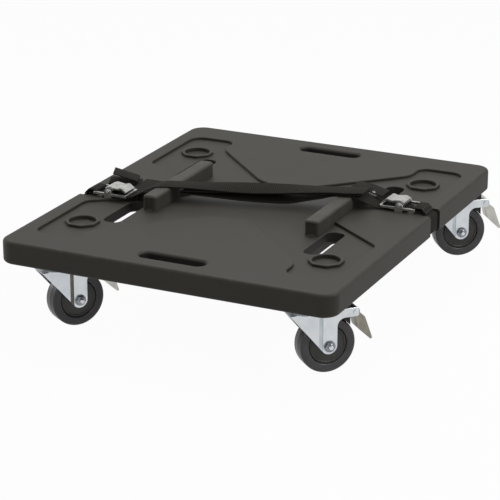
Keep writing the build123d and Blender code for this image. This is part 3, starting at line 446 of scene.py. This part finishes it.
# axle bolt with its head on the +Y leg of the fork, and the lock nut with its washer on the -Y leg
axle = {"leg": 21.5, "flats": 16, "head": 5.5, "headFace": 0.47, "flange": 1.2, "flangeHeight": 0.6,
        "radius": 4.0, "end": 3.0, "pitch": 1.0, "threadDepth": 0.35, "threadRest": 0.2,
        "tipFoot": 0.6, "tipFace": 1.3, "tipHeight": 0.3}
lockNut = {"height": 7.0, "shoulder": 5.4, "shoulderFace": 0.485, "washer": 10.4, "washerHeight": 1.2, "play": 0.05,
           "collarFoot": 6.9, "collarStep": 0.1, "collarTop": 6.6, "collarFace": 6.0, "collarEase": 0.5, "sunk": 0.2}


def mirrored(half):
    return half + [(-along, radius) for along, radius in reversed(half)]


middleAlong, middleRadius = wheel["shoulderMiddle"]
shoulder = [(middleAlong + wheel["shoulder"] * cos(radians(a)), middleRadius + wheel["shoulder"] * sin(radians(a)))
            for a in range(15, 91, 15)]
tyreRings = turnedRings(mirrored(wheel["tyreSide"] + shoulder + wheel["tyreSeam"]), wheel["count"])
hubRings = turnedRings(mirrored(wheel["hub"]), wheel["count"])

nutFoot, nutShoulder = -axle["leg"] - lockNut["washerHeight"], -axle["leg"] - lockNut["shoulder"]
nutTop = axle["leg"] + lockNut["height"]
nutBore = axle["radius"] + lockNut["play"]
nutRings = [
    roundRing(nutBore, -axle["leg"]),
    roundRing(lockNut["washer"], -axle["leg"]),
    roundRing(lockNut["washer"], nutFoot),
    sixSided(axle["flats"], nutFoot),
    sixSided(axle["flats"], nutShoulder, -1),
    roundRing(lockNut["shoulderFace"] * axle["flats"], nutShoulder),
    roundRing(lockNut["collarFoot"], nutShoulder - lockNut["collarStep"]),
    roundRing(lockNut["collarTop"], -nutTop + lockNut["collarEase"]),
    roundRing(lockNut["collarFace"], -nutTop),
    roundRing(nutBore, -nutTop + lockNut["sunk"]),
]

headTop, flangeTop = axle["leg"] + axle["head"], axle["leg"] + axle["flangeHeight"]
flangeRadius = axle["flats"] / 2 + axle["flange"]
boltRings = [
    roundRing(axle["headFace"] * axle["flats"], headTop),
    sixSided(axle["flats"], headTop, 1),
    sixSided(axle["flats"], flangeTop),
    roundRing(flangeRadius, flangeTop),
    roundRing(flangeRadius, axle["leg"]),
    roundRing(axle["radius"], axle["leg"]),
]
threadStart = -nutTop + lockNut["collarEase"]
halfTurns = int((axle["end"] - axle["threadRest"]) / axle["pitch"] * 2)
for step in range(halfTurns + 1):
    boltRings.append(roundRing(axle["radius"] - axle["threadDepth"] * (step % 2),
                               threadStart - step * axle["pitch"] / 2))
tip = nutTop + axle["end"]
boltRings += [roundRing(axle["radius"] - axle["tipFoot"], -tip + axle["tipHeight"]),
              roundRing(axle["radius"] - axle["tipFace"], -tip)]

for corner, (x, y, turn) in casters.items():
    seat = Matrix.Translation((x * mm, y * mm, 0)) @ Matrix.Rotation(radians(turn), 4, "Z")
    axleSeat = seat @ Matrix.Translation((wheel["trail"] * mm, 0, wheel["height"] * mm))
    swivel, spun = corner + "_swivel", corner + "_wheel"
    addPiece(corner + "_tyre_moulded", ringSkin(tyreRings, axleSeat, True, "turnedUv"), rubber, spun,
             "tyre_rubber", corner + "_tyre")
    addPiece(corner + "_hub_moulded", ringSkin(hubRings, axleSeat, True, "turnedUv"), polypropylene, spun,
             "hub_plastic", corner + "_wheel_core")
    addPiece(corner + "_lock_nut", ringSkin(nutRings, axleSeat, True), fastenerZinc, swivel,
             "zinc_plated_steel", corner + "_axle_nut")
    addPiece(corner + "_axle_turned", ringSkin(boltRings, axleSeat, False), zinc, swivel,
             "zinc_plated_steel", corner + "_axle_bolt")
    easedCopy(corner + "_top_plate", zinc, "zinc_plated_steel", pressed["plateEdge"])
    fork = easedCopy(corner + "_fork", zinc, "zinc_plated_steel", pressed["forkEdge"])
    # painted shade in the crease: deeper on the front left fork
    fork.data.materials.append(zincCreaseDeeperPaintedShade if corner == "front_left" else zincCreasePaintedShade)
    upright = seat.inverted()
    for face in fork.data.polygons:
        spot = upright @ face.center / mm
        alongCrease = crease["start"] < spot.x < crease["end"] and spot.z > crease["foot"]
        if alongCrease and crease["shallow"] < axle["leg"] - abs(spot.y) < crease["deep"]:
            face.material_index = 1
    easedCopy(corner + "_brake_pin", zinc, "zinc_plated_steel", pressed["pinEdge"])
    # painted light and shade: the front right pedal gets the darker nickel, the others the paler one
    pedalSteelPaintedLightShade = nickel if corner == "front_right" else nickelPaintedLight
    easedCopy(corner + "_brake_pedal", pedalSteelPaintedLightShade, "brake_steel", pressed["pedalEdge"], segments=3)
    easedCopy(corner + "_brake_shoe", padRubber, "brake_rubber", pressed["shoeEdge"])
    dressNode(corner + "_swivel_balls", ballSteel)
    dressNode(corner + "_axle_sleeve", zinc)
print("casters dressed:", len(casters))

# Caster bolts: one head, set at every hole of the four plates and turned as it was tightened
boltHead = {"flats": 13, "height": 5.5, "face": 0.47, "flange": 8.0, "flangeHeight": 1.2, "flangeSide": 0.6,
            "count": 24, "seat": 127.0, "spacing": (75, 45), "seed": 7}
headRings = [
    roundRing(boltHead["face"] * boltHead["flats"], boltHead["height"], boltHead["count"]),
    sixSided(boltHead["flats"], boltHead["height"], 1, boltHead["count"]),
    sixSided(boltHead["flats"], boltHead["flangeHeight"], 0, boltHead["count"]),
    roundRing(boltHead["flange"], boltHead["flangeHeight"] * boltHead["flangeSide"], boltHead["count"]),
    roundRing(boltHead["flange"], 0, boltHead["count"]),
]
headMesh = ringSkin(headRings, Matrix.Rotation(-pi / 2, 4, "X"), False)
headObject = bpy.data.objects.new("boltHead", headMesh)
tree, inputs = startTree("boltsInHoles", {"Head": "Object", "Seed": "Int"})
head = addNode(tree, "GeometryNodeObjectInfo", {"Object": inputs["Head"]})
angle = addNode(tree, "FunctionNodeRandomValue", {2: 0.0, 3: pi / 3, "Seed": inputs["Seed"]}, data_type="FLOAT")
twist = addNode(tree, "ShaderNodeCombineXYZ", {2: angle.outputs[1]})
spots = addNode(tree, "GeometryNodeMeshToPoints", {0: inputs["Geometry"]})
setHeads = addNode(tree, "GeometryNodeInstanceOnPoints", {
    "Points": spots.outputs[0], "Instance": head.outputs["Geometry"], "Rotation": twist.outputs[0]})
endTree(tree, setHeads.outputs[0], fastenerZinc)
spacingX, spacingY = boltHead["spacing"]
holes = bpy.data.meshes.new("boltHoles")
holes.from_pydata([((x + sideX * spacingX / 2) * mm, (y + sideY * spacingY / 2) * mm, boltHead["seat"] * mm)
                   for x, y, turn in casters.values() for sideX in (-1, 1) for sideY in (-1, 1)], [], [])
heads = bakeTree(tree, holes, {"Head": headObject, "Seed": boltHead["seed"]})
addPiece("caster_bolt_heads", heads, fastenerZinc, "board", "zinc_plated_steel", "caster_bolts")
bpy.data.objects.remove(headObject)
print("bolt heads set")

# Buckles: the cast frames are a little fuller than their solids
buckle = {"frameEdge": 0.9, "leverEdge": 0.8, "pinEdge": 0.3, "swell": 0.3}
for hand in ("left", "right"):
    easedCopy(hand + "_buckle_frame", castZinc, "cast_zinc", buckle["frameEdge"], segments=3, swell=buckle["swell"])
    easedCopy(hand + "_buckle_lever", castZinc, "cast_zinc", buckle["leverEdge"], segments=3)
easedCopy("buckle_pins", zinc, "zinc_plated_steel", buckle["pinEdge"])
print("buckles dressed")


# a line through the points with its corners rounded, cut into short runs
def bentLine(points, radii, runStep=6.0, turnStep=radians(15)):
    line = [Vector(points[0])]
    for before, corner, after, radius in zip(points, points[1:], points[2:], radii):
        corner = Vector(corner)
        back, ahead = (Vector(before) - corner).normalized(), (Vector(after) - corner).normalized()
        half = back.angle(ahead) / 2
        centre = corner + (back + ahead).normalized() * radius / sin(half)
        arm = corner + back * radius / tan(half) - centre
        turn = (pi - 2 * half) * (1 if ahead.cross(back) > 0 else -1)
        count = max(2, int(abs(turn) / turnStep) + 1)
        line += [centre + Matrix.Rotation(turn * step / count, 2) @ arm for step in range(count + 1)]
    line.append(Vector(points[-1]))
    cut = [line[0]]
    for start, end in zip(line, line[1:]):
        runs = max(1, int((end - start).length / runStep))
        cut += [start.lerp(end, (step + 1) / runs) for step in range(runs)]
    return cut


# The webbing tree sweeps a rounded strip along a route seen from the front. The route carries how far
# the strip is shifted sideways, how much it is stretched, skewed and tilted there, and the length laid so far
strap = {"width": 38.0, "thickness": 2.0, "edgeRound": 0.46, "sharp": 50.0}
webbingTree, inputs = startTree("webbingOnRoute", {"Width": "Float", "Thickness": "Float"})
route = addNode(webbingTree, "GeometryNodeMeshToCurve", {0: inputs["Geometry"]})
strip = addNode(webbingTree, "GeometryNodeCurvePrimitiveQuadrilateral", {
    "Width": inputs["Width"], "Height": inputs["Thickness"]})
softness = addNode(webbingTree, "ShaderNodeMath", {
    0: inputs["Thickness"], 1: strap["edgeRound"]}, operation="MULTIPLY")
section = addNode(webbingTree, "GeometryNodeFilletCurve", {
    "Curve": strip.outputs[0], "Count": 3, "Radius": softness.outputs[0]}, mode="POLY")
position = addNode(webbingTree, "GeometryNodeInputPosition")
spot = addNode(webbingTree, "ShaderNodeSeparateXYZ", {0: position.outputs[0]})
marked = addNode(webbingTree, "GeometryNodeStoreNamedAttribute", {
    "Geometry": section.outputs[0], "Name": "across", "Value": spot.outputs["X"]},
    data_type="FLOAT", domain="POINT")
swept = addNode(webbingTree, "GeometryNodeCurveToMesh", {
    "Curve": route.outputs[0], "Profile Curve": marked.outputs[0], "Fill Caps": True})
read = {name: addNode(webbingTree, "GeometryNodeInputNamedAttribute", {"Name": name}, data_type="FLOAT").outputs[0]
        for name in ("shift", "stretch", "skew", "laid", "tilt", "across")}
sideways = addNode(webbingTree, "ShaderNodeMath", {
    0: spot.outputs["Y"], 1: read["stretch"], 2: read["shift"]}, operation="MULTIPLY_ADD")
fromRear = addNode(webbingTree, "ShaderNodeMath", {
    0: inputs["Width"], 1: -0.5, 2: spot.outputs["Y"]}, operation="MULTIPLY_ADD")
rolled = addNode(webbingTree, "ShaderNodeMath", {
    0: fromRear.outputs[0], 1: read["tilt"], 2: spot.outputs["Z"]}, operation="MULTIPLY_ADD")
moved = addNode(webbingTree, "ShaderNodeCombineXYZ", {
    0: spot.outputs["X"], 1: sideways.outputs[0], 2: rolled.outputs[0]})
laidOut = addNode(webbingTree, "GeometryNodeSetPosition", {
    "Geometry": swept.outputs[0], "Position": moved.outputs[0]})
along = addNode(webbingTree, "ShaderNodeMath", {
    0: read["across"], 1: read["skew"], 2: read["laid"]}, operation="MULTIPLY_ADD")
cloth = addNode(webbingTree, "ShaderNodeCombineXYZ", {0: read["across"], 1: along.outputs[0]})
mapped = addNode(webbingTree, "GeometryNodeStoreNamedAttribute", {
    "Geometry": laidOut.outputs[0], "Name": "webbingUv", "Value": cloth.outputs[0]},
    data_type="FLOAT2", domain="CORNER")
endTree(webbingTree, mapped.outputs[0], webbing)


# the mesh of one strap, from its route and its course across the board if it has one
def strapMesh(points, radii, shift=0.0, course=None, tilt=0.0, tiltReach=1.0):
    line = bentLine(points, radii)
    carrier = bpy.data.meshes.new("route")
    carrier.from_pydata([(p.x * mm, 0, p.y * mm) for p in line], [(i, i + 1) for i in range(len(line) - 1)], [])
    rows = {"shift": [], "stretch": [], "skew": [], "laid": [], "tilt": []}
    laid = 0.0
    for i, point in enumerate(line):
        sideShift, slope = shift, 0.0
        if course:
            for start, end in zip(course, course[1:]):
                if start.x <= point.x <= end.x:
                    slope = (end.y - start.y) / (end.x - start.x)
                    sideShift = start.y + slope * (point.x - start.x)
        if i:
            step = point - line[i - 1]
            laid += Vector((step.x, step.x * slope, step.y)).length
        ahead = line[min(i + 1, len(line) - 1)].x - line[max(i - 1, 0)].x
        rows["shift"].append(sideShift * mm)
        rows["stretch"].append((1 + slope * slope) ** 0.5)
        rows["skew"].append(-slope if ahead >= 0 else slope)
        rows["laid"].append(laid * mm)
        rows["tilt"].append(tilt * cos(min(abs(point.x) / tiltReach, 1) * pi / 2) ** 2)
    for name, values in rows.items():
        carrier.attributes.new(name, "FLOAT", "POINT").data.foreach_set("value", values)
    mesh = bakeTree(webbingTree, carrier, {"Width": strap["width"] * mm, "Thickness": strap["thickness"] * mm})
    for name in (*rows, "across"):
        if name in mesh.attributes:
            mesh.attributes.remove(mesh.attributes[name])
    mesh.shade_smooth()
    mesh.set_sharp_from_angle(angle=radians(strap["sharp"]))
    return mesh


# one mesh from several
def joined(meshes):
    shape = bmesh.new()
    for mesh in meshes:
        shape.from_mesh(mesh)
    whole = bpy.data.meshes.new("joined")
    shape.to_mesh(whole)
    shape.free()
    return whole


# short straps from under the board, up its side grooves and round the outer bars of the buckles
anchor = {
    "y": 78.0,
    "route": [(263.2, 132.8), (316.2, 132.8), (316.2, 168.2), (309, 168.2), (301.9, 175.3), (283.2, 175.3),
              (283.2, 181.9), (299.26, 181.9), (307.74, 173.42)],
    "radii": [6, 6, 2, 2, 1.3, 1.3, 2],
}
rightAnchor = strapMesh(anchor["route"], anchor["radii"], anchor["y"])
leftAnchor = rightAnchor.copy()
leftAnchor.transform(Matrix.Rotation(pi, 4, "Z"))
addPiece("anchor_webbing", joined([rightAnchor, leftAnchor]), webbing, "board", "webbing", "anchor_straps")

# the main strap: over both rails, its spare length folded in three layers that lean between them
mainStrap = {
    "route": [(-272, 175), (-214, 175), (-177, 196.3), (0, 196.9), (142, 201.9), (192, 201.9), (192, 199.1),
              (142, 199.1), (0, 188.3), (-130, 189.3), (-130, 185.5), (64, 179.3), (123, 190.6), (142, 196.3),
              (177, 196.3), (214, 175), (272, 175)],
    "radii": [24, 40, 100, 100, 1.375, 1.375, 100, 100, 1.875, 1.875, 100, 100, 60, 40, 24],
    "course": [(-310, -78), (-231, -78), (-161, -46), (161, 46), (231, 78), (310, 78)],
    "turn": 110, "tilt": 0.24, "tiltReach": 138,
}
course = bentLine(mainStrap["course"], [mainStrap["turn"]] * 4, runStep=8.0, turnStep=radians(3))
mainMesh = strapMesh(mainStrap["route"], mainStrap["radii"], course=course,
                     tilt=mainStrap["tilt"], tiltReach=mainStrap["tiltReach"])
addPiece("main_webbing", mainMesh, webbing, "board", "webbing", "main_strap")

# the loose ends: the right one rests on its rail, the left one is folded flat with its end standing up
tails = {
    "rightY": 100.0, "rightRoute": [(152, 196.3), (177, 196.3), (214, 187.3)], "rightRadius": 9,
    "leftPlace": (-243, 6), "leftTurn": 22.0, "leftRadius": 1.675,
    "leftRoute": [(0, 173.2), (-60, 173.2), (-60, 176.6), (-6, 176.6), (-6, 180), (-52, 195)],
    "turnX": -223.5, "turnRoute": [(-84, 173.05), (25, 173.05)],
}
rightTail = strapMesh(tails["rightRoute"], [tails["rightRadius"]], tails["rightY"])
leftTail = strapMesh(tails["leftRoute"], [tails["leftRadius"]] * 4)
leftTail.transform(Matrix.Translation((tails["leftPlace"][0] * mm, tails["leftPlace"][1] * mm, 0))
                   @ Matrix.Rotation(radians(tails["leftTurn"]), 4, "Z"))
# the run that leaves from under the main strap and turns the corner into the left tail
turnRun = strapMesh(tails["turnRoute"], [], -tails["turnX"])
turnRun.transform(Matrix.Rotation(pi / 2, 4, "Z"))
addPiece("tail_webbing", joined([rightTail, leftTail, turnRun]), webbing, "board", "webbing", "strap_tails")
print("webbing laid")

# an eyelet closed through the right tail; its section is (height, radius) round the rolled rim
eyelet = {"place": (196, 85, 191.7), "slope": 13.7, "count": 32,
          "section": [(0.2, 1.6), (1.5, 1.9), (1.8, 2.4), (1.5, 2.9), (1.1, 3.2), (0.2, 2.6)]}
eyeletSeat = (Matrix.Translation([c * mm for c in eyelet["place"]])
              @ Matrix.Rotation(radians(eyelet["slope"]), 4, "Y") @ Matrix.Rotation(pi / 2, 4, "X"))
addPiece("tail_eyelet", ringSkin(turnedRings(eyelet["section"], eyelet["count"]), eyeletSeat, True), fastenerZinc,
         "board", "zinc_plated_steel")

# Stitches: short capsules along the sewn box that closes each anchor strap round its bar
stitch = {"length": 3.0, "pitch": 4.0, "radius": 0.45, "inset": 3.0, "proud": 0.1, "boxStart": 1.5, "boxEnd": 11.0}
tree, inputs = startTree("stitchesOnLines", {"Length": "Float", "Pitch": "Float", "Radius": "Float"})
line = addNode(tree, "GeometryNodeMeshToCurve", {0: inputs["Geometry"]})
spots = addNode(tree, "GeometryNodeCurveToPoints", {
    "Curve": line.outputs[0], "Length": inputs["Pitch"]}, mode="LENGTH")
bead = addNode(tree, "GeometryNodeMeshUVSphere", {"Segments": 8, "Rings": 5, "Radius": 1.0})
half = addNode(tree, "ShaderNodeMath", {0: inputs["Length"], 1: 0.5}, operation="MULTIPLY")
size = addNode(tree, "ShaderNodeCombineXYZ", {0: inputs["Radius"], 1: inputs["Radius"], 2: half.outputs[0]})
sewn = addNode(tree, "GeometryNodeInstanceOnPoints", {
    "Points": spots.outputs[0], "Instance": bead.outputs[0], "Rotation": spots.outputs["Rotation"],
    "Scale": size.outputs[0]})
smooth = addNode(tree, "GeometryNodeSetShadeSmooth", {0: sewn.outputs[0]})
endTree(tree, smooth.outputs[0], thread)
lapStart, lapEnd = Vector(anchor["route"][-2]), Vector(anchor["route"][-1])
lapRun = (lapEnd - lapStart).normalized()
lift = Vector((-lapRun.y, lapRun.x)) * (strap["thickness"] / 2 + stitch["proud"])
edgeY = strap["width"] / 2 - stitch["inset"]
corners = []
for along, across in (("boxStart", -1), ("boxStart", 1), ("boxEnd", 1), ("boxEnd", -1)):
    spot = lapStart + lapRun * stitch[along] + lift
    corners.append((spot.x * mm, (anchor["y"] + across * edgeY) * mm, spot.y * mm))
sewnLines = bpy.data.meshes.new("sewnLines")
sewnLines.from_pydata(corners + [(-px, -py, pz) for px, py, pz in corners],
                      [(0, 1), (1, 2), (2, 3), (3, 0), (4, 5), (5, 6), (6, 7), (7, 4)], [])
stitches = bakeTree(tree, sewnLines, {
    "Length": stitch["length"] * mm, "Pitch": stitch["pitch"] * mm, "Radius": stitch["radius"] * mm})
addPiece("anchor_stitches", stitches, thread, "board", "webbing")
print("stitches sewn")


# 1 for the rays that show the backdrop itself: from the camera, off gloss and through glass
def seenRays(tree):
    rays = addNode(tree, "ShaderNodeLightPath")
    seen = addNode(tree, "ShaderNodeMath", {
        0: rays.outputs["Is Camera Ray"], 1: rays.outputs["Is Glossy Ray"]}, operation="MAXIMUM")
    seenToo = addNode(tree, "ShaderNodeMath", {
        0: seen.outputs[0], 1: rays.outputs["Is Transmission Ray"]}, operation="MAXIMUM")
    return seenToo.outputs[0]


# Floor: matt paper that keeps the object's shadow, and that the camera sees almost white
stage = {"size": 40.0, "fibresPerMetre": 60.0, "paperDark": 0.47, "paperLight": 0.49, "ownGlow": 0.965}
floorMesh = bpy.data.meshes.new("floor")
far = stage["size"] / 2
floorMesh.from_pydata([(-far, -far, 0), (far, -far, 0), (far, far, 0), (-far, far, 0)], [], [(0, 1, 2, 3)])
floor = bpy.data.objects.new("floor", floorMesh)
scene.collection.objects.link(floor)
paper = bpy.data.materials.new("paperBackdrop")
paper.use_nodes = True
tree = paper.node_tree
tree.nodes.clear()
fibre = addNode(tree, "ShaderNodeTexNoise", {
    "Vector": addNode(tree, "ShaderNodeTexCoord").outputs["Object"], "Scale": stage["fibresPerMetre"]})
tint = addNode(tree, "ShaderNodeMapRange", {
    "Value": fibre.outputs[0], "To Min": stage["paperDark"], "To Max": stage["paperLight"]})
matt = addNode(tree, "ShaderNodeBsdfDiffuse", {"Color": tint.outputs[0]})
glow = addNode(tree, "ShaderNodeEmission", {"Color": hexLinear("#ffffff"), "Strength": 1.0})
share = addNode(tree, "ShaderNodeMath", {0: seenRays(tree), 1: stage["ownGlow"]}, operation="MULTIPLY")
blended = addNode(tree, "ShaderNodeMixShader", {0: share.outputs[0], 1: matt.outputs[0], 2: glow.outputs[0]})
addNode(tree, "ShaderNodeOutputMaterial", {"Surface": blended.outputs[0]})
floorMesh.materials.append(paper)

studio = {"ambient": 0.25, "white": 1.0}
world = bpy.data.worlds.new("studio")
scene.world = world
world.use_nodes = True
tree = world.node_tree
tree.nodes.clear()
level = addNode(tree, "ShaderNodeMapRange", {
    "Value": seenRays(tree), "To Min": studio["ambient"], "To Max": studio["white"]})
sky = addNode(tree, "ShaderNodeBackground", {"Color": hexLinear("#ffffff"), "Strength": level.outputs[0]})
addNode(tree, "ShaderNodeOutputWorld", {"Surface": sky.outputs[0]})

# Lamps and camera, in metres
lampAim = Vector((0, 0, 0.1))
lamps = {
    "key": {"place": (2.4, 0.4, 2.2), "size": 1.6, "power": 58},
    "top": {"place": (-0.3, 0.8, 2.8), "size": 2.2, "power": 48},
    "side": {"place": (-3.0, 0.05, 0.85), "size": 0.7, "power": 12},
    "front": {"place": (0.3, -2.6, 1.7), "size": 1.6, "power": 12},
}
for name, lamp in lamps.items():
    light = bpy.data.lights.new(name, "AREA")
    light.size = lamp["size"]
    light.energy = lamp["power"]
    lampObject = bpy.data.objects.new(name, light)
    lampObject.location = lamp["place"]
    lampObject.rotation_euler = (lampAim - Vector(lamp["place"])).to_track_quat("-Z", "Y").to_euler()
    scene.collection.objects.link(lampObject)

shot = {"azimuth": 25.486, "elevation": 19.965, "distance": 3.9724, "aim": (-0.0143, 0.0, 0.0746),
        "lens": 154.2, "sensor": 36}
azimuth, elevation = radians(shot["azimuth"]), radians(shot["elevation"])
back = Vector((sin(azimuth) * cos(elevation), -cos(azimuth) * cos(elevation), sin(elevation)))
cameraData = bpy.data.cameras.new("camera")
cameraData.lens = shot["lens"]
cameraData.sensor_width = shot["sensor"]
camera = bpy.data.objects.new("camera", cameraData)
camera.location = Vector(shot["aim"]) + back * shot["distance"]
camera.rotation_euler = (-back).to_track_quat("-Z", "Y").to_euler()
scene.collection.objects.link(camera)
scene.camera = camera
scene.view_settings.view_transform = "Standard"
print("stage set")
